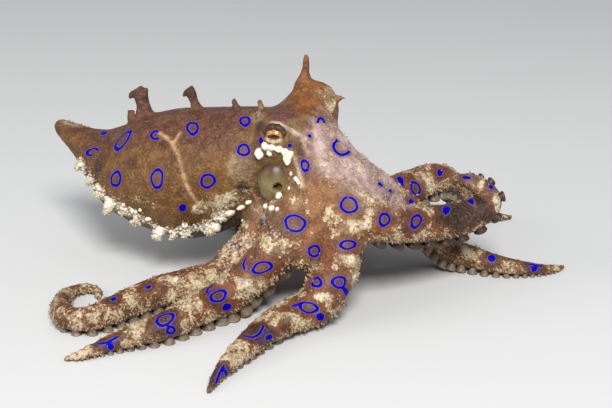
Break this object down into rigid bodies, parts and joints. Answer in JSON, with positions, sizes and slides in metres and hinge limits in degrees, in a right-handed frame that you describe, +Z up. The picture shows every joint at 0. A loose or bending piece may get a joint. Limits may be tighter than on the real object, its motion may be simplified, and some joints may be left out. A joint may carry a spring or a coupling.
{
  "type": "blue ringed octopus",
  "caption": "Life-size blue ringed octopus walking on its arms, with a pointed papillate mantle, a raised head with horned eye domes, a side funnel and curling arms lined with suckers.",
  "frame": {"origin": "on the floor under the middle of the whole animal", "axes": "+X ahead, from the mantle's pointed end to the head; +Y to the animal's left; +Z up from the floor"},
  "size_m": [0.0915, 0.0906, 0.0397],
  "materials": {
    "skin": "moist, rough orange-brown skin with blue rings",
    "olive_skin": "moist, smooth olive skin",
    "eye": "wet, glossy eye with a dark bar pupil"
  },
  "bodies": {
    "root": {"mantle": "skin", "head": "skin", "crown": "skin", "funnel": "olive_skin", "eye_right": "eye", "eye_left": "eye", "arm_r1_root": "skin", "arm_r1_middle": "skin", "arm_r1_outer": "skin", "arm_r1_tip": "skin", "arm_r2_root": "skin", "arm_r2_middle": "skin", "arm_r2_tip": "skin", "arm_r3_root": "skin", "arm_r3_middle": "skin", "arm_r3_tip": "skin", "arm_r4_root": "skin", "arm_r4_middle": "skin", "arm_r4_outer": "skin", "arm_r4_tip": "skin", "arm_l1_root": "skin", "arm_l1_middle": "skin", "arm_l1_tip": "skin", "arm_l2_root": "skin", "arm_l2_middle": "skin", "arm_l2_tip": "skin", "arm_l3_root": "skin", "arm_l3_middle": "skin", "arm_l3_tip": "skin", "arm_l4_root": "skin", "arm_l4_middle": "skin", "arm_l4_tip": "skin"}
  },
  "joints": []
}
